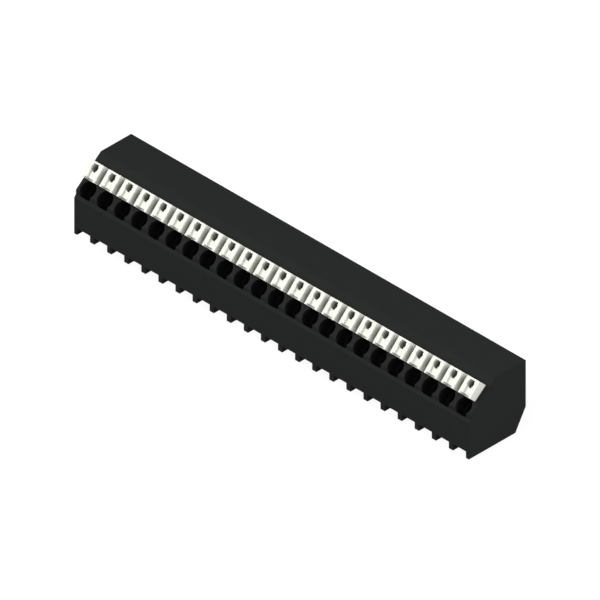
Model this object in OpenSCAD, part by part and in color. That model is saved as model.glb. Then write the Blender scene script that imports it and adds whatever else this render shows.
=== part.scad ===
// Push-in spring terminal block for a circuit board, with a slanted wire side.
// Lengths are millimetres. Z = 0 is the board's surface, +Y points to the back,
// and the origin is the middle of the solder pins' pattern.
// Pieces are drawn from the housing's left end, front face and feet, and placed() moves them.
// "Along the wire" is the slanted direction in which wires and buttons go in.

/* [Row] */
// Number of poles
poles = 23; // [2:1:28]
// From one pole's centre to the next
pitch = 3.5; // [3.4:0.05:4.5]
// From the left end to the first pole's centre
first_pole = 1.85; // [1.8:0.05:3]
// From the last pole's centre to the right end
last_pole = 2.0; // [1.8:0.05:3]

/* [Housing] */
// Height above the board
body_h = 11.82; // [11.4:0.02:12.4]
// Depth over the flat top
body_d = 11.67; // [10.6:0.01:13]
// Depth at the board
base_d = 9.54; // [9.4:0.01:10.4]
// Height at which the back starts to slope in towards the board
back_break_h = 3.67; // [1.5:0.01:6]
// From the front face to the upper edge of the slope
slope_y = 5.45; // [5.2:0.01:5.5]
// Angle between the slope and the board
slope_angle = 40; // [38:1:42]
// How far the slope's lower edge stands back from the front face
step_y = 0.35; // [0.25:0.01:0.45]
// Height of the small upright step's foot
step_h = 6.8; // [6.6:0.01:6.85]
// Height of the front face
front_h = 6.32; // [5.6:0.01:6.5]

/* [Chambers] */
// Width of each chamber, as seen at the notch between two feet
chamber_w = 2.63; // [2.5:0.01:2.75]
// How far each chamber stands to the right of its pole's centre
chamber_shift = 0.075; // [0:0.005:0.1]
// Thickness of the front wall beside a chamber
front_wall = 0.75; // [0.5:0.01:0.85]
// From the front face to the back of the chambers
chamber_back = 9.05; // [9:0.01:9.15]
// Depth along the wire at which the chambers start
chamber_deep = 4.4; // [4.2:0.02:4.5]
// Height of the notches in the front wall, which leave the feet
notch_h = 1.13; // [0.6:0.01:1.4]

/* [Wire entry] */
// Angle between the wire and the board
wire_angle = 45; // [44:1:46]
// Distance down the slope from its upper edge to the wire's axis
entry_down = 5.82; // [5.76:0.01:5.86]
// Diameter of the mouth
mouth_d = 2.75; // [2.5:0.01:2.8]
// Depth of the mouth along the wire, which takes the end of the insulation
mouth_deep = 2.4; // [1.2:0.05:3.2]
// Width of the mouth's flat lower part
sill_w = 2.2; // [1.8:0.02:2.3]
// Distance of the mouth's flat floor below the wire's axis
sill_low = 1.38; // [1.36:0.01:1.42]
// Corner radius beside the flat floor
sill_r = 0.45; // [0.2:0.05:0.6]
// Diameter of the throat that guides the bared wire
throat_d = 1.8; // [1.5:0.05:1.9]
// Width of the bevel that leads the wire into the throat
lead_in = 0.15; // [0.05:0.01:0.18]
// Depth of that bevel along the wire
lead_deep = 0.3; // [0.1:0.05:0.5]

/* [Push buttons] */
// Width of a button's head
button_w = 2.5; // [2.3:0.01:2.6]
// Thickness of the head, across the slide
button_t = 2.87; // [2.7:0.01:3]
// Distance from the wire's axis to the head's lower side
button_low = 1.28; // [1.25:0.01:1.35]
// How far the middle of the face stands out of the slope, along the slide
button_proud = 1.56; // [1.3:0.02:1.8]
// Travel of a button
travel = 1.2; // [0.8:0.05:1.2]
// Depth along the wire of the floor that ends the travel
stop_deep = 2.6; // [2.5:0.05:2.8]
// Bevel round the edge of the face
face_bevel = 0.03; // [0.02:0.01:0.1]
// Diameter of the round hole for a test pin
hole_d = 1.26; // [1.1:0.02:1.5]
// Depth of that hole
hole_deep = 2.2; // [0.6:0.05:2.3]
// From the face's upper edge to the middle of that hole
hole_down = 0.9; // [0.85:0.02:1.2]
// Width of the flat-floored channel between the hole and the lower edge
channel_w = 1; // [0.6:0.05:1.1]
// Depth of that channel
channel_deep = 0.35; // [0.1:0.05:0.8]
// How far the channel runs on above the middle of the hole
channel_up = 0.6; // [0.3:0.05:0.65]
// Width of the notch in the head's lower edge
notch_w = 1.72; // [1.2:0.02:2.2]
// How far the notch reaches up from that edge
notch_up = 0.28; // [0.1:0.02:0.5]
// Depth of the notch, whose floor lies level with the slope
notch_deep = 1.3; // [0.6:0.05:1.4]
// Width of the nose that reaches the spring
nose_w = 1.9; // [1.5:0.05:2]
// Thickness of the nose
nose_t = 1.3; // [1:0.05:1.35]
// Distance from the wire's axis to the nose's lower side
nose_low = 1.75; // [1.7:0.05:1.85]
// Width of the nose's blunt tip, which bears on the spring
tip_t = 0.2; // [0.1:0.05:0.4]
// Extra room between the spring and the upper edge of the nose
nose_relief = 0.15; // [0.1:0.05:0.4]
// How far each catch stands out of the nose's side
catch_out = 0.2; // [0.1:0.02:0.25]
// Length of the catches along the slide
catch_l = 0.5; // [0.3:0.05:0.6]
// Thickness of the catches
catch_t = 0.7; // [0.4:0.05:0.8]

/* [Clamping springs] */
// Thickness of the spring strip
spring_t = 0.3; // [0.2:0.01:0.35]
// Width of the spring strip
spring_w = 2; // [1.6:0.05:2.2]
// Radius of the bend at the top, in the middle of the strip
loop_r = 0.9; // [0.8:0.02:0.95]
// Height of the fixed leg's lower end above the contact's floor
fixed_up = 0.4; // [0.35:0.05:1]
// Height of the clamping edge above the contact's floor
clamp_up = 0.9; // [0.7:0.05:1.2]

/* [Contacts] */
// Thickness of the contact strip
contact_t = 0.5; // [0.4:0.05:0.5]
// Width of the contact strip
contact_w = 2.2; // [1.8:0.05:2.4]
// How far the contact lies below the throat's wall
bar_drop = 0.15; // [0.05:0.01:0.2]
// Inner radius of the strip's bends
bend_r = 0.25; // [0.15:0.05:0.35]
// How much the metal thins at each face of a bend
bend_thins = 0.01; // [0.005:0.005:0.02]
// Height of the middle of the strip's flat floor
floor_z = 1.1; // [1:0.05:1.2]
// Height above the board of the upright that backs the spring
upright_z = 3.2; // [2.6:0.05:3.6]
// Width of a solder pin
pin_w = 0.8; // [0.6:0.05:1]
// Length of the pins below the board's surface
pin_l = 1.5; // [1:0.1:3.5]
// Bevel at the front and the back of a pin's tip
pin_bevel = 0.12; // [0.04:0.02:0.16]
// From the front face to the front row of pins
pin_front = 3; // [2.9:0.05:3.1]
// Distance between the two rows of pins
pin_rows = 5; // [4.6:0.05:5.1]

/* [Fits] */
// Clearance at each side of a button's head and nose
side_gap = 0.105; // [0.05:0.005:0.15]
// Clearance above and below them
slide_gap = 0.08; // [0.05:0.005:0.1]
// Clearance where a piece rests on its seat or stop
seat_gap = 0.04; // [0.02:0.01:0.06]
// Clearance between a spring's bend and the slanted roof of its chamber
loop_gap = 0.06; // [0.03:0.01:0.2]
// Clearance between a spring's clamping edge and the contact
clamp_gap = 0.02; // [0.01:0.01:0.1]

/* [Hidden] */
$fn = 48;

// Far enough to run out of the housing on any side
beyond = 3;
// How far a bend runs on inside the legs beside it
bend_bite = 0.05;

black_plastic = "#2a2a2b";
white_plastic = "#fbf9f3";
spring_steel = "#b9bcc0";
tinned_copper = "#c9c7bf";

length_x = first_pole + (poles - 1) * pitch + last_pole;
middle_x = first_pole + (poles - 1) * pitch / 2;
middle_y = pin_front + pin_rows / 2;
slope_low_z = body_h - (slope_y - step_y) * tan(slope_angle);

// Where the wire's axis meets the slope
entry_y = slope_y - entry_down * cos(slope_angle);
entry_z = body_h - entry_down * sin(slope_angle);
// Angle by which the slope leans away from a plane square to the wire
lean = 90 - wire_angle - slope_angle;

// Button head and nose, measured outwards along the slide from the wire's entry point
button_high = button_low + button_t;
face_q = button_proud - (button_low + button_high) / 2 * tan(lean);
head_q = -(stop_deep - travel - seat_gap);
nose_high = nose_low + nose_t;
hole_n = button_high - hole_down;

// Contact strip, along its middle
pin_back = pin_front + pin_rows;
strip_r = bend_r + contact_t / 2;
bar_face = throat_d / 2 + bar_drop;
bar_n = -bar_face - contact_t / 2;
hairpin_y = pin_front + strip_r;
hairpin_z = entry_z
    + (bar_n - strip_r - (hairpin_y - entry_y) * sin(wire_angle)) / cos(wire_angle);
heel_z = floor_z + strip_r;
heel_y = entry_y
    + (bar_n + strip_r - (heel_z - entry_z) * cos(wire_angle)) / sin(wire_angle);
upright_y = chamber_back - seat_gap - contact_t / 2;

// Spring: the fixed leg backs on the upright, the bend lies under the slanted roof, and the
// other leg is tangent to the bend and ends just above the contact
floor_top = floor_z + contact_t / 2;
leg_y = upright_y - contact_t / 2 - seat_gap - spring_t / 2;
loop_y = leg_y - loop_r;
loop_deep = chamber_deep + loop_gap + spring_t / 2 + loop_r;
loop_z = entry_z + ((loop_y - entry_y) * cos(wire_angle) - loop_deep) / sin(wire_angle);
loop = [loop_y, loop_z];
roof_z = loop_z + loop_r + spring_t / 2 + seat_gap;
clamp_n = clamp_gap + spring_t / 2 * sin(wire_angle) - bar_face;
clamp_z = floor_top + clamp_up;
clamp_deep = (entry_z + clamp_n * cos(wire_angle) - clamp_z) / sin(wire_angle);
clamp = at_wire(clamp_deep, clamp_n);
reach = norm(loop - clamp);
leg_lean = atan2(loop[0] - clamp[0], loop[1] - clamp[1]) - asin(loop_r / reach);
leg_l = sqrt(pow(reach, 2) - pow(loop_r, 2));
leg_top = clamp + leg_l * [sin(leg_lean), cos(leg_lean)];
// The leg's slope against the wire, and where its outer face is at a height n above the wire
leg_m = (deep_of(clamp) - deep_of(leg_top)) / (high_of(leg_top) - high_of(clamp));

function two(i) = i < 10 ? str("0", i) : str(i);
function pole_x(i) = first_pole + (i - 1) * pitch;
// Side-view point at a depth s along the wire and a height n square to it, and back again
function at_wire(s, n) = [
    entry_y + s * cos(wire_angle) + n * sin(wire_angle),
    entry_z - s * sin(wire_angle) + n * cos(wire_angle)];
function deep_of(p) = (p[0] - entry_y) * cos(wire_angle) - (p[1] - entry_z) * sin(wire_angle);
function high_of(p) = (p[0] - entry_y) * sin(wire_angle) + (p[1] - entry_z) * cos(wire_angle);
function leg_face(n) = deep_of(clamp) - leg_m * (n - high_of(clamp))
    - spring_t / 2 * sqrt(1 + pow(leg_m, 2));

module placed() translate([-middle_x, -middle_y, 0]) children();
module at_pole(i) translate([pole_x(i), 0, 0]) children();
// X stays along the row, Y is square to the wire and Z points out of the entry
module tilted() translate([0, entry_y, entry_z]) rotate([90 - wire_angle, 0, 0]) children();
// A side view, drawn in Y and Z, made w wide along the row
module along_row(w) rotate([90, 0, 90]) linear_extrude(w, center = true) children();
// An outline drawn in X and Z, made deep from y towards -Y
module across(y, deep) translate([0, y, 0]) rotate([90, 0, 0]) linear_extrude(deep) children();

module strip(from, to, thick) {
    run = to - from;
    translate(from) rotate(atan2(run[1], run[0]))
        translate([0, -thick / 2]) square([norm(run), thick]);
}

// A bend of a strip round a centre, a little thinner than the legs that it runs into
module bend(centre, radius, from, to, thick) {
    far = 4 * radius;
    bite = atan2(bend_bite, radius);
    half = thick / 2 - bend_thins;
    translate(centre) intersection() {
        difference() {
            circle(radius + half);
            circle(radius - half);
        }
        polygon([[0, 0], for (a = [from - bite, (from + to) / 2, to + bite])
            far * [cos(a), sin(a)]]);
    }
}

module housing_side() polygon([
    [0, 0],
    [0, front_h],
    [step_y, step_h],
    [step_y, slope_low_z],
    [slope_y, body_h],
    [body_d, body_h],
    [body_d, back_break_h],
    [base_d, 0]]);

module mouth_outline() {
    flat = sill_w / 2 - sill_r;
    circle(mouth_d / 2);
    translate([-sill_w / 2, sill_r - sill_low]) square([sill_w, sill_low - sill_r]);
    translate([-flat, -sill_low]) square([2 * flat, sill_low]);
    for (side = [-1, 1]) translate([side * flat, sill_r - sill_low]) circle(sill_r);
}

module wire_entry() tilted() {
    throat_r = throat_d / 2;
    translate([0, 0, -mouth_deep]) linear_extrude(mouth_deep + beyond) mouth_outline();
    translate([0, 0, -mouth_deep - lead_deep])
        cylinder(h = lead_deep, r1 = throat_r, r2 = throat_r + lead_in);
    translate([0, 0, -chamber_deep - throat_d])
        cylinder(h = chamber_deep + throat_d - mouth_deep, r = throat_r);
}

module button_well() tilted() {
    well_w = button_w + 2 * side_gap;
    guide_w = nose_w + 2 * side_gap;
    translate([-well_w / 2, button_low - slide_gap, -stop_deep])
        cube([well_w, button_t + 2 * slide_gap, stop_deep + beyond]);
    translate([-guide_w / 2, nose_low - slide_gap, -chamber_deep - nose_t])
        cube([guide_w, nose_t + 2 * slide_gap, chamber_deep + nose_t]);
}

// The room for contact and spring, open to the board and behind the front notch
module chamber() {
    roof = at_wire(chamber_deep, 0);
    rise = tan(90 - wire_angle);
    roof_y = roof[0] + (roof_z - roof[1]) / rise;
    front_z = roof[1] - (roof[0] - front_wall) * rise;
    upper_back = leg_y + spring_t / 2 + seat_gap;
    translate([chamber_shift, 0, 0]) along_row(chamber_w) {
        polygon([
            [front_wall, -beyond],
            [front_wall, front_z],
            [roof_y, roof_z],
            [upper_back, roof_z],
            [upper_back, upright_z + seat_gap],
            [chamber_back, upright_z + seat_gap],
            [chamber_back, -beyond]]);
        translate([-beyond, -beyond]) square([beyond + front_wall, beyond + notch_h]);
    }
}

module housing() color(black_plastic) placed() difference() {
    translate([length_x / 2, 0, 0]) along_row(length_x) housing_side();
    for (i = [1 : poles]) at_pole(i) {
        wire_entry();
        button_well();
        chamber();
    }
}

module button_head() difference() {
    bevel_w = button_w / 2 - face_bevel;
    intersection() {
        along_row(button_w) polygon([
            [button_low, head_q],
            [button_low, face_q - face_bevel],
            [button_low + face_bevel, face_q],
            [button_high - face_bevel, face_q],
            [button_high, face_q - face_bevel],
            [button_high, head_q]]);
        across(button_high, button_t) polygon([
            [-button_w / 2, head_q],
            [-button_w / 2, face_q - face_bevel],
            [-bevel_w, face_q],
            [bevel_w, face_q],
            [button_w / 2, face_q - face_bevel],
            [button_w / 2, head_q]]);
    }
    translate([0, hole_n, face_q - hole_deep])
        cylinder(h = hole_deep + beyond, r = hole_d / 2);
    translate([-channel_w / 2, 0, face_q - channel_deep])
        cube([channel_w, hole_n + channel_up, channel_deep + beyond]);
    translate([-notch_w / 2, 0, face_q - notch_deep])
        cube([notch_w, button_low + notch_up, notch_deep + beyond]);
}

// Side view of the nose, which ends a clearance short of the spring's leg
module nose_side() {
    tip_n = nose_low + tip_t;
    polygon([
        [nose_low, head_q],
        [nose_high, head_q],
        [nose_high, seat_gap + nose_relief - leg_face(nose_high)],
        [tip_n, seat_gap - leg_face(tip_n)],
        [nose_low, seat_gap - leg_face(nose_low)]]);
}

module button_nose() {
    catch_w = nose_w + 2 * catch_out;
    top_q = -chamber_deep - seat_gap;
    along_row(nose_w) nose_side();
    // Catches that hold the button in, under the roof of the chamber
    intersection() {
        along_row(catch_w) nose_side();
        across(nose_low + catch_t, catch_t) polygon([
            [-catch_w / 2, top_q],
            [catch_w / 2, top_q],
            [nose_w / 2, top_q - catch_l],
            [-nose_w / 2, top_q - catch_l]]);
    }
}

module push_button(i) color(white_plastic) placed() at_pole(i) tilted() {
    button_head();
    button_nose();
}

module clamp_spring(i) color(spring_steel) placed() at_pole(i) along_row(spring_w) {
    strip([leg_y, floor_top + fixed_up], loop + [loop_r, 0], spring_t);
    bend(loop, loop_r, 0, 180 - leg_lean, spring_t);
    strip(leg_top, clamp, spring_t);
}

module solder_pin(y) {
    half = contact_t / 2;
    tip = half - pin_bevel;
    translate([y, 0]) polygon([
        [-half, floor_z],
        [-half, pin_bevel - pin_l],
        [-tip, -pin_l],
        [tip, -pin_l],
        [half, pin_bevel - pin_l],
        [half, floor_z]]);
}

module contact() {
    hairpin = [hairpin_y, hairpin_z];
    heel = [heel_y, heel_z];
    toe = [upright_y - strip_r, heel_z];
    square_to_wire = [sin(wire_angle), cos(wire_angle)];
    along_row(contact_w) {
        strip([pin_front, floor_z], [pin_front, hairpin_z], contact_t);
        bend(hairpin, strip_r, 90 - wire_angle, 180, contact_t);
        strip(hairpin + strip_r * square_to_wire, heel - strip_r * square_to_wire, contact_t);
        bend(heel, strip_r, 270 - wire_angle, 270, contact_t);
        strip([heel_y, floor_z], [toe[0], floor_z], contact_t);
        bend(toe, strip_r, 270, 360, contact_t);
        strip([upright_y, toe[1]], [upright_y, upright_z], contact_t);
    }
    along_row(pin_w) {
        solder_pin(pin_front);
        solder_pin(pin_back);
    }
}

module contacts() color(tinned_copper) placed()
    for (i = [1 : poles]) at_pole(i) contact();

housing();
contacts();
for (i = [1 : poles])
    push_button(i);
for (i = [1 : poles])
    clamp_spring(i);
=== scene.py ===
# %% [markdown]
# # A slant-fronted terminal block for a circuit board
#
# The block is a black moulded housing with a row of 23 poles. Each pole has a round entry for a
# wire and, above it, a white push button that opens a spring clamp inside. The solid pieces come
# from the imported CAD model, so this lesson is about what CAD leaves open: surfaces, light, the
# photograph's point of view, and the springs, which have to bend when a button goes in.

import math

import bpy
import numpy as np
from mathutils import Matrix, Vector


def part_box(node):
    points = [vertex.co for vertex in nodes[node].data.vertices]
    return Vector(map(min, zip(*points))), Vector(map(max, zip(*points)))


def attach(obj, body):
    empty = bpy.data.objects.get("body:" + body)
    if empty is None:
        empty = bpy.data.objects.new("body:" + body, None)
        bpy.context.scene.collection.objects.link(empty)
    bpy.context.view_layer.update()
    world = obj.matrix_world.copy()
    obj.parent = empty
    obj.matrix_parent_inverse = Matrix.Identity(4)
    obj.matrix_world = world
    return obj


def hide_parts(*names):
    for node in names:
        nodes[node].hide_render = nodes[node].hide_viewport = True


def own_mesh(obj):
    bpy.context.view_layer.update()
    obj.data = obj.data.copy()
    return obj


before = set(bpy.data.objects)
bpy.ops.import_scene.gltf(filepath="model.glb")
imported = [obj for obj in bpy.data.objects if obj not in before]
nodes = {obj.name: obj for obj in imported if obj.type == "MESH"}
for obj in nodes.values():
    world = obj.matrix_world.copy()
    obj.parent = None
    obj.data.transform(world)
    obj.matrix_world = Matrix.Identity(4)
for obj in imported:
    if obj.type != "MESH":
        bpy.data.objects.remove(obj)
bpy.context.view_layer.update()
MM = 0.001

# %% [markdown]
# ## Where the pieces are
#
# The row frame has its origin on the board, in the middle of the solder pins. X runs along the
# row, Y from the wire side to the back and Z up. Every pole repeats after one pitch, so the
# x positions are one arange, and one pole's shape is enough for all of them.

# %% The row
POLES = 23
PITCH = 3.5 * MM
pole_x = (np.arange(POLES) - (POLES - 1) / 2) * PITCH
button_names = [f"push_button_{n:02d}" for n in range(1, POLES + 1)]
spring_names = [f"clamp_spring_{n:02d}" for n in range(1, POLES + 1)]
housing_low, housing_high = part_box("housing")
print(f"poles from x = {pole_x[0] / MM:.2f} to {pole_x[-1] / MM:.2f} mm")
print(f"housing from x = {housing_low.x / MM:.2f} to {housing_high.x / MM:.2f} mm")

# %% [markdown]
# ## The camera
#
# The photograph is a parallel view: the last button is drawn as large as the first one. So the
# camera is orthographic, and what has to be matched is one direction, one scale and one point.
# The direction is 45 degrees round from the front and 35 degrees up. The scale follows from the
# pitch of the buttons. The point is the housing's front, left, lower corner.


# %% Camera
def view_axes(azimuth, elevation):
    """Unit vectors to the right, up and towards the viewer, for angles in degrees.

    With a the azimuth and e the elevation, right is (cos a, sin a, 0), back is
    (sin a cos e, -cos a cos e, sin e), and up is their cross product.
    """
    a, e = math.radians(azimuth), math.radians(elevation)
    right = np.array([math.cos(a), math.sin(a), 0.0])
    back = np.array([math.sin(a) * math.cos(e), -math.cos(a) * math.cos(e), math.sin(e)])
    return right, np.cross(back, right), back


def placed(right, up, back, point):
    """The matrix of an object at point, whose own X, Y and Z are right, up and back."""
    rows = np.eye(4)
    rows[:3] = np.stack([right, up, back, point], axis=1)
    return Matrix(rows.tolist())


AZIMUTH, ELEVATION = 45, 35
VIEW_WIDTH = 86.906 * MM
CORNER_IN_VIEW = np.array([-32.71, 9.67]) * MM  # rightwards and upwards from the middle
CAMERA_DISTANCE = 400 * MM
NEAR, FAR = 10 * MM, 2000 * MM
right, up, back = view_axes(AZIMUTH, ELEVATION)
corner = np.array([housing_low.x, housing_low.y, 0.0])
aim = (
    (corner @ right - CORNER_IN_VIEW[0]) * right
    + (corner @ up - CORNER_IN_VIEW[1]) * up
)
camera_data = bpy.data.cameras.new("camera")
camera_data.type = "ORTHO"
camera_data.ortho_scale = VIEW_WIDTH
camera_data.clip_start = NEAR
camera_data.clip_end = FAR
camera = bpy.data.objects.new("camera", camera_data)
bpy.context.scene.collection.objects.link(camera)
camera.matrix_world = placed(right, up, back, aim + CAMERA_DISTANCE * back)
bpy.context.scene.camera = camera
print(f"the view is {VIEW_WIDTH / MM:.1f} mm wide")

# %% [markdown]
# ## Colours and nodes
#
# A colour is easiest to name as the sRGB hex value that it shows on a screen, but a shader works
# in linear light, so one function turns the first into the second. A second small function adds
# a node, gives it its settings and links it, which keeps each material down to the few lines
# that say something about the material.


# %% From sRGB to linear light
def linear(hex_colour):
    """sRGB hex to linear RGBA: value/12.92 near black, else ((value + 0.055)/1.055)^2.4."""
    srgb = np.array([int(hex_colour[i : i + 2], 16) for i in (1, 3, 5)]) / 255
    low, high = srgb / 12.92, ((srgb + 0.055) / 1.055) ** 2.4
    return (*np.where(srgb <= 0.04045, low, high), 1.0)


grey = linear("#808080")[0]
print(f"#808080 is about half way to white on a screen, and {grey:.3f} in linear light")


# %% Add and link nodes
def add_node(tree, kind, settings=None, **inputs):
    """Adds a node. A setting is a property, and an input is a value or another node's socket.

    An input goes by its name, with _ for a space, or by its number, as in _0 for the first.
    """
    node = tree.nodes.new(kind)
    for name, value in (settings or {}).items():
        setattr(node, name, value)
    for name, value in inputs.items():
        socket = node.inputs[int(name[1:]) if name[1:].isdigit() else name.replace("_", " ")]
        if isinstance(value, bpy.types.NodeSocket):
            tree.links.new(value, socket)
        else:
            socket.default_value = value
    return node


def new_material(name):
    """A material that has no nodes yet, and its node tree."""
    material = bpy.data.materials.new(name)
    material.use_nodes = True
    material.node_tree.nodes.clear()
    return material, material.node_tree


def finish_material(tree, shader):
    """Links the shader to the material's output."""
    add_node(tree, "ShaderNodeOutputMaterial", Surface=shader.outputs[0])


# %% [markdown]
# ## Painted shade in hollows
#
# The wire entries are nearly black in the photograph, and the buttons' side walls fade to grey
# towards the housing. A few lamps alone leave such hollows too bright, because they stand for a
# whole room's light. So both plastics get painted shade: their colour darkens where walls close by
# hide the surroundings.

# %% Painted shade where walls are close
HIDING_SAMPLES = 8


def painted_shade_inside(tree, colour, dark, reach, shut, free):
    """Paints shade: mixes colour towards dark where walls within reach hide the surroundings.

    Ambient Occlusion gives the share of directions that are free up to reach. Where it is shut
    or less, the surface is dark, and where it is free or more, the colour stays as it is.
    """
    sky = add_node(
        tree, "ShaderNodeAmbientOcclusion", {"samples": HIDING_SAMPLES}, Distance=reach
    )
    share = add_node(
        tree, "ShaderNodeMapRange", Value=sky.outputs["AO"], From_Min=shut, From_Max=free
    )
    return add_node(
        tree,
        "ShaderNodeMix",
        {"data_type": "RGBA"},
        _0=share.outputs[0],
        _6=linear(dark),
        _7=colour.outputs[2],
    )


# %% [markdown]
# ## Black glass-filled polyamide
#
# The housing of such a block is moulded in polyamide, coloured through with carbon black. The
# mould's steel is lightly spark-eroded, so the surface has a grain of about 0.03 mm, which
# spreads the reflections to a soft sheen. The glass fibres make faint clouds of a slightly
# greyer black. The Bevel node bends the normals within 0.08 mm of an edge, which is what lets a
# moulded edge catch a thin line of light. The colour also gets painted shade in hollows: a wire
# entry is 2.75 mm wide, so a reach of one pitch finds its opposite wall.

# %% Housing material
GRAIN = 0.12 * MM  # drawn about four times as coarse as the real grain, or it would not show
GRAIN_HEIGHT = 0.01 * MM
CLOUD = 2.5 * MM
EDGE_RADIUS = 0.08 * MM
EDGE_SAMPLES = 4
black_polyamide, tree = new_material("black_polyamide")
place = add_node(tree, "ShaderNodeTexCoord").outputs["Object"]
grain = add_node(
    tree, "ShaderNodeTexNoise", Vector=place, Scale=1 / GRAIN, Detail=2.0, Roughness=0.5
)
clouds = add_node(
    tree, "ShaderNodeTexNoise", Vector=place, Scale=1 / CLOUD, Detail=3.0, Roughness=0.6
)
colour = add_node(
    tree,
    "ShaderNodeMix",
    {"data_type": "RGBA"},
    _0=clouds.outputs["Fac"],
    _6=linear("#252626"),
    _7=linear("#292a2a"),
)
# Painted shade: the black darkens in the wire entries and other hollows
colour = painted_shade_inside(tree, colour, dark="#121212", reach=PITCH, shut=0.34, free=0.6)
rough = add_node(
    tree, "ShaderNodeMapRange", Value=grain.outputs["Fac"], To_Min=0.48, To_Max=0.62
)
edge = add_node(tree, "ShaderNodeBevel", {"samples": EDGE_SAMPLES}, Radius=EDGE_RADIUS)
relief = add_node(
    tree,
    "ShaderNodeBump",
    Strength=0.15,
    Distance=GRAIN_HEIGHT,
    Height=grain.outputs["Fac"],
    Normal=edge.outputs[0],
)
shader = add_node(
    tree,
    "ShaderNodeBsdfPrincipled",
    Base_Color=colour.outputs[2],
    Roughness=rough.outputs[0],
    Normal=relief.outputs[0],
)
shader.inputs["Specular IOR Level"].default_value = 0.02
finish_material(tree, shader)
print(f"black polyamide: grain {GRAIN / MM:.2f} mm, clouds {CLOUD / MM:.1f} mm")

# %% [markdown]
# ## White polyester buttons
#
# The buttons are moulded in white PBT polyester from a polished mould. They are smoother than the
# housing, with the same grain at a lower height, and their white is faintly yellow-green, which
# shows in the shade. Faint flow marks from the moulding vary it a little. Light goes a little
# way into white plastic and comes out again nearby, which softens the channel's edges, so the
# shader has a subsurface share with a radius of two tenths of a millimetre. The reach for the
# painted shade is nearly the test hole's depth.

# %% Button material
HOLE_REACH = 1.8 * MM
FLOW = 1.5 * MM
POLISH_HEIGHT = 0.006 * MM
BUTTON_EDGE = 0.04 * MM
SCATTER = 0.2 * MM
white_polyester, tree = new_material("white_polyester")
place = add_node(tree, "ShaderNodeTexCoord").outputs["Object"]
flow = add_node(tree, "ShaderNodeTexNoise", Vector=place, Scale=1 / FLOW, Detail=2.0)
colour = add_node(
    tree,
    "ShaderNodeMix",
    {"data_type": "RGBA"},
    _0=flow.outputs["Fac"],
    _6=linear("#f5f6ec"),
    _7=linear("#f9faf1"),
)
# Painted shade: the white darkens in the test hole, the channel and between the buttons
colour = painted_shade_inside(tree, colour, dark="#3b3c33", reach=HOLE_REACH, shut=0.0, free=0.55)
grain = add_node(tree, "ShaderNodeTexNoise", Vector=place, Scale=1 / GRAIN, Detail=2.0)
rough = add_node(
    tree, "ShaderNodeMapRange", Value=grain.outputs["Fac"], To_Min=0.36, To_Max=0.48
)
edge = add_node(tree, "ShaderNodeBevel", {"samples": EDGE_SAMPLES}, Radius=BUTTON_EDGE)
relief = add_node(
    tree,
    "ShaderNodeBump",
    Strength=0.08,
    Distance=POLISH_HEIGHT,
    Height=grain.outputs["Fac"],
    Normal=edge.outputs[0],
)
shader = add_node(
    tree,
    "ShaderNodeBsdfPrincipled",
    Base_Color=colour.outputs[2],
    Roughness=rough.outputs[0],
    Normal=relief.outputs[0],
)
shader.inputs["Specular IOR Level"].default_value = 0.2
shader.inputs["Subsurface Weight"].default_value = 0.3
# Blue light goes less far than red and green
shader.inputs["Subsurface Radius"].default_value = (1.0, 1.0, 0.8)
shader.inputs["Subsurface Scale"].default_value = SCATTER
finish_material(tree, shader)
print(f"white polyester: light scatters over {SCATTER / MM:.1f} mm")

# %% [markdown]
# ## Rolled spring steel and tinned copper
#
# The springs are cut from cold-rolled stainless strip. Rolling leaves fine lines along the strip,
# and those lines stretch the highlights across them. A strip runs in the YZ plane, so the lines
# are noise that is drawn out along Y and Z. The contacts are copper strip with a coat of matt
# tin: a pale, faintly warm grey, with fine crystals and hardly any direction.

# %% Spring material
LINE = 0.06 * MM  # the real lines are several times as fine and would not show
LINE_HEIGHT = 0.004 * MM
LINE_SHAPE = 0.04  # width over length
stainless_strip, tree = new_material("stainless_strip")
place = add_node(tree, "ShaderNodeTexCoord").outputs["Object"]
across = add_node(tree, "ShaderNodeMapping", Vector=place, Scale=(1.0, LINE_SHAPE, LINE_SHAPE))
lines = add_node(
    tree, "ShaderNodeTexNoise", Vector=across.outputs[0], Scale=1 / LINE, Detail=3.0
)
rough = add_node(
    tree, "ShaderNodeMapRange", Value=lines.outputs["Fac"], To_Min=0.22, To_Max=0.4
)
relief = add_node(
    tree,
    "ShaderNodeBump",
    Strength=0.2,
    Distance=LINE_HEIGHT,
    Height=lines.outputs["Fac"],
)
shader = add_node(
    tree,
    "ShaderNodeBsdfPrincipled",
    Base_Color=linear("#c3c5c8"),
    Metallic=1.0,
    Roughness=rough.outputs[0],
    Normal=relief.outputs[0],
)
finish_material(tree, shader)
print(f"stainless strip: lines {LINE / MM:.2f} mm wide, {LINE / LINE_SHAPE / MM:.1f} mm long")

# %% Contact material
CRYSTAL = 0.15 * MM  # the real crystals are far finer and would not show
CRYSTAL_HEIGHT = 0.004 * MM
CONTACT_EDGE = 0.03 * MM
tinned_copper, tree = new_material("tinned_copper")
place = add_node(tree, "ShaderNodeTexCoord").outputs["Object"]
crystals = add_node(tree, "ShaderNodeTexVoronoi", Vector=place, Scale=1 / CRYSTAL)
rough = add_node(
    tree, "ShaderNodeMapRange", Value=crystals.outputs["Distance"], To_Min=0.34, To_Max=0.5
)
edge = add_node(tree, "ShaderNodeBevel", {"samples": EDGE_SAMPLES}, Radius=CONTACT_EDGE)
relief = add_node(
    tree,
    "ShaderNodeBump",
    Strength=0.1,
    Distance=CRYSTAL_HEIGHT,
    Height=crystals.outputs["Distance"],
    Normal=edge.outputs[0],
)
shader = add_node(
    tree,
    "ShaderNodeBsdfPrincipled",
    Base_Color=linear("#cfcdc6"),
    Metallic=1.0,
    Roughness=rough.outputs[0],
    Normal=relief.outputs[0],
)
finish_material(tree, shader)
print(f"tinned copper: crystals {CRYSTAL / MM:.2f} mm across")


# %% Give the CAD nodes their materials
def dress(obj, material):
    """Gives the object this material and no other."""
    obj.data.materials.clear()
    obj.data.materials.append(material)


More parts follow.
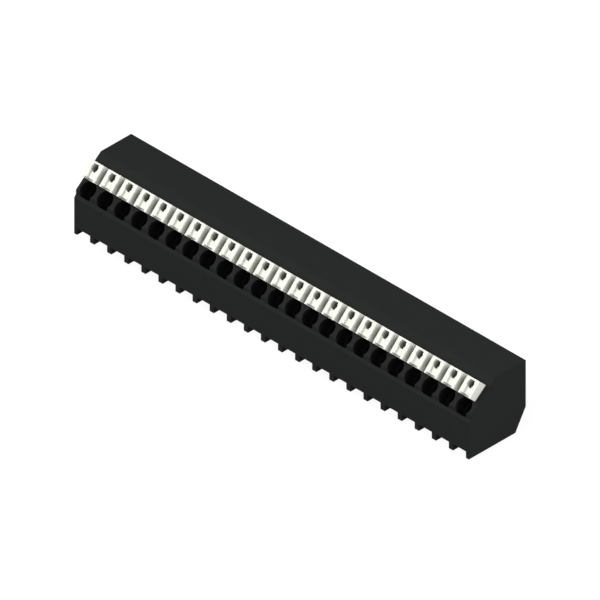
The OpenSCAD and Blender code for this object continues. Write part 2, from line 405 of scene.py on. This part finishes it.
dress(nodes["housing"], black_polyamide)
dress(nodes["contacts"], tinned_copper)
for name in button_names:
    dress(nodes[name], white_polyester)
print(f"dressed {2 + len(button_names)} CAD nodes")

# %% [markdown]
# ## The clamping springs
#
# A clamping spring is one strip bent like a hairpin: a fixed leg, a bend, and a free leg whose
# edge presses the wire on the contact. In the CAD model it is rigid, but the real one gives way
# when its button comes in. Here each spring is made again as a surface: a rounded strip section
# carried along the hairpin's middle line, with enough rings to stay smooth.


# %% The hairpin's middle line
def hairpin(fixed_end, bend_centre, radius, free_end, step):
    """Points (y, z) up the fixed leg, round the bend and down the free leg, a step apart.

    The free leg is the tangent from its end to the circle of the bend. With d the distance
    from that end to the centre, the tangent leans asin(radius/d) from the line between them.
    """
    dy, dz = bend_centre - free_end
    d = math.hypot(dy, dz)
    lean = math.atan2(dy, dz) - math.asin(radius / d)
    top = free_end + math.sqrt(d * d - radius * radius) * np.array(
        [math.sin(lean), math.cos(lean)]
    )
    angle = np.linspace(0, math.pi - lean, round((math.pi - lean) * radius / step) + 1)
    arc = bend_centre + radius * np.stack([np.cos(angle), np.sin(angle)], axis=1)

    def straight(a, b):
        t = np.linspace(0, 1, round(math.dist(a, b) / step) + 1)[:, None]
        return a + t * (b - a)

    return np.concatenate(
        [straight(fixed_end, arc[0])[:-1], arc[:-1], straight(top, free_end)]
    )


# %% A strip carried along a line
def strip_surface(line, width, thick, corner, corner_steps=3):
    """Vertices and faces of a strip whose middle follows line in the YZ plane.

    Ring i is the rounded rectangle width x thick, laid across the line at its point i: the
    section's first axis is X, and its second is the line's normal there.
    """
    tangent = np.gradient(line, axis=0)
    tangent /= np.linalg.norm(tangent, axis=1, keepdims=True)
    normal = np.stack([-tangent[:, 1], tangent[:, 0]], axis=1)
    quarter = np.linspace(0, math.pi / 2, corner_steps + 1)
    turn = (np.arange(4)[:, None] * math.pi / 2 + quarter).ravel()
    side = np.repeat([[1, 1], [-1, 1], [-1, -1], [1, -1]], corner_steps + 1, axis=0)
    section = side * np.array([width / 2 - corner, thick / 2 - corner])
    section = section + corner * np.stack([np.cos(turn), np.sin(turn)], axis=1)
    rings, count = len(line), len(section)
    grid = np.empty((rings, count, 3))
    grid[..., 0] = section[None, :, 0]
    grid[..., 1:] = line[:, None, :] + section[None, :, 1, None] * normal[:, None, :]
    i, j = np.meshgrid(np.arange(rings - 1), np.arange(count), indexing="ij")
    k = (j + 1) % count
    sides = np.stack(
        [i * count + j, (i + 1) * count + j, (i + 1) * count + k, i * count + k], axis=-1
    ).reshape(-1, 4)
    first = np.arange(count)
    last = (rings - 1) * count + first[::-1]
    return grid.reshape(-1, 3), [*sides.tolist(), first.tolist(), last.tolist()]


def new_piece(name, vertices, faces, material, smooth=True):
    """An object at the origin, with its place in its mesh."""
    mesh = bpy.data.meshes.new(name)
    mesh.from_pydata(vertices, [], faces)
    mesh.validate()
    mesh.update()
    obj = bpy.data.objects.new(name, mesh)
    bpy.context.scene.collection.objects.link(obj)
    dress(obj, material)
    if smooth:
        mesh.shade_smooth()
    else:
        mesh.shade_flat()
    return obj


# %% [markdown]
# Each spring takes its place from its CAD node's box: the fixed leg is at the back, and the bend's
# crown is the highest point. The legs end where they do in the CAD model. In the real block, the
# free leg moves towards the fixed one when a button goes in; the surfaces here are made at rest.

# %% Make the springs
STRIP = 0.3 * MM  # thickness
STRIP_WIDTH = 2.0 * MM
STRIP_CORNER = 0.06 * MM  # radius of the section's corners
BEND_RADIUS = 0.9 * MM
FIXED_END_Z = 1.75 * MM
FREE_END = np.array([0.014, 2.25]) * MM  # y and z
RING_STEP = 0.12 * MM
for name, x in zip(spring_names, pole_x):
    low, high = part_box(name)
    back_leg = high.y - STRIP / 2
    centre = np.array([back_leg - BEND_RADIUS, high.z - STRIP / 2 - BEND_RADIUS])
    fixed_end = np.array([back_leg, FIXED_END_Z])
    line = hairpin(fixed_end, centre, BEND_RADIUS, FREE_END, RING_STEP)
    vertices, faces = strip_surface(line, STRIP_WIDTH, STRIP, STRIP_CORNER)
    vertices[:, 0] += x
    spring = new_piece(f"leaf_{name[-2:]}", vertices, faces, stainless_strip)
    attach(spring, "block")
    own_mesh(spring)
    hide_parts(name)
strip_length = np.linalg.norm(np.diff(line, axis=0), axis=1).sum()
print(f"{len(spring_names)} springs of {len(faces)} faces")
print(f"each is bent from {strip_length / MM:.1f} mm of strip")

# %% [markdown]
# ## Light and floor
#
# The photograph has a pure white ground, and its shading says where the light was. The front, the
# end wall and the flat top are nearly equally dark, and the slope is a little lighter. The last
# button's open side is nearly as light as its face, while the sides that look at a neighbour are
# grey. Three large soft lamps give that: one from the camera's side, a stronger one from the left,
# and a low one from the right that the neighbours keep off each other. A faint even sky fills
# what they miss, and a weak lamp behind the block, which the photograph can't show, keeps the
# back from going quite black.
#
# The sky and the floor look white to the camera, to reflections and through glass, but light the
# object only a little. Light Path tells those rays apart, and the largest of its three answers
# is 1 for each of them.


# %% Rays that see the background
def background_seen(tree):
    """A socket that is 1 for camera, glossy and transmission rays, and 0 for all others."""
    rays = add_node(tree, "ShaderNodeLightPath").outputs
    seen = rays["Is Camera Ray"]
    for other in ("Is Glossy Ray", "Is Transmission Ray"):
        larger = add_node(
            tree, "ShaderNodeMath", {"operation": "MAXIMUM"}, _0=seen, _1=rays[other]
        )
        seen = larger.outputs[0]
    return seen


# %% Sky
SKY = 0.12
world = bpy.data.worlds.new("studio")
bpy.context.scene.world = world
world.use_nodes = True
tree = world.node_tree
tree.nodes.clear()
strength = add_node(tree, "ShaderNodeMapRange", Value=background_seen(tree), To_Min=SKY)
sky = add_node(
    tree, "ShaderNodeBackground", Color=linear("#ffffff"), Strength=strength.outputs[0]
)
add_node(tree, "ShaderNodeOutputWorld", Surface=sky.outputs[0])
print(f"the sky lights the object with {SKY} and is seen as white")

# %% Lamps
LAMP_WIDTH = 0.35  # metres
LAMP_DISTANCE = 0.5  # metres
# Azimuth and elevation in degrees, and power in watts
LAMPS = {
    "key": (45, 40, 1.1),
    "left": (-45, 40, 1.54),
    "right": (95, 20, 0.95),
    "behind": (190, 12, 0.4),
}
for name, (azimuth, elevation, watts) in LAMPS.items():
    lamp_data = bpy.data.lights.new(name, "AREA")
    lamp_data.shape = "DISK"
    lamp_data.size = LAMP_WIDTH
    lamp_data.energy = watts
    lamp = bpy.data.objects.new(name, lamp_data)
    bpy.context.scene.collection.objects.link(lamp)
    axes = view_axes(azimuth, elevation)
    lamp.matrix_world = placed(*axes, LAMP_DISTANCE * axes[2])
print(f"{len(LAMPS)} lamps, {sum(watts for _, _, watts in LAMPS.values()):.2f} W in all")

# %% [markdown]
# The block stands on its pins, so the floor lies at their tips. It is a grey surface that takes
# the object's shadow, with a glow added that only the background's rays see. Lit by the lamps,
# the two add up to white, and in the shadow a little less.

# %% Floor
FLOOR_Z = -1.5 * MM
FLOOR_HALF = 1.5  # metres
FLOOR_GLOW = 0.9
floor_material, tree = new_material("studio_floor")
strength = add_node(
    tree,
    "ShaderNodeMath",
    {"operation": "MULTIPLY"},
    _0=background_seen(tree),
    _1=FLOOR_GLOW,
)
diffuse = add_node(tree, "ShaderNodeBsdfDiffuse", Color=linear("#7b7b7b"))
glow = add_node(
    tree, "ShaderNodeEmission", Color=linear("#ffffff"), Strength=strength.outputs[0]
)
shader = add_node(tree, "ShaderNodeAddShader", _0=diffuse.outputs[0], _1=glow.outputs[0])
finish_material(tree, shader)
corners = [(-1, -1), (1, -1), (1, 1), (-1, 1)]
floor = new_piece(
    "floor",
    [(x * FLOOR_HALF, y * FLOOR_HALF, FLOOR_Z) for x, y in corners],
    [(0, 1, 2, 3)],
    floor_material,
    smooth=False,
)
print(f"the floor lies {-FLOOR_Z / MM:.1f} mm below the board's surface")

# %% [markdown]
# ## How the picture is shown
#
# The view transform Standard shows the light as it is, with no film curve over it. The lamps are
# at a plain level, so each colour then comes out about as its hex value says.

# %% Colour management
bpy.context.scene.view_settings.view_transform = "Standard"
print("view transform:", bpy.context.scene.view_settings.view_transform)
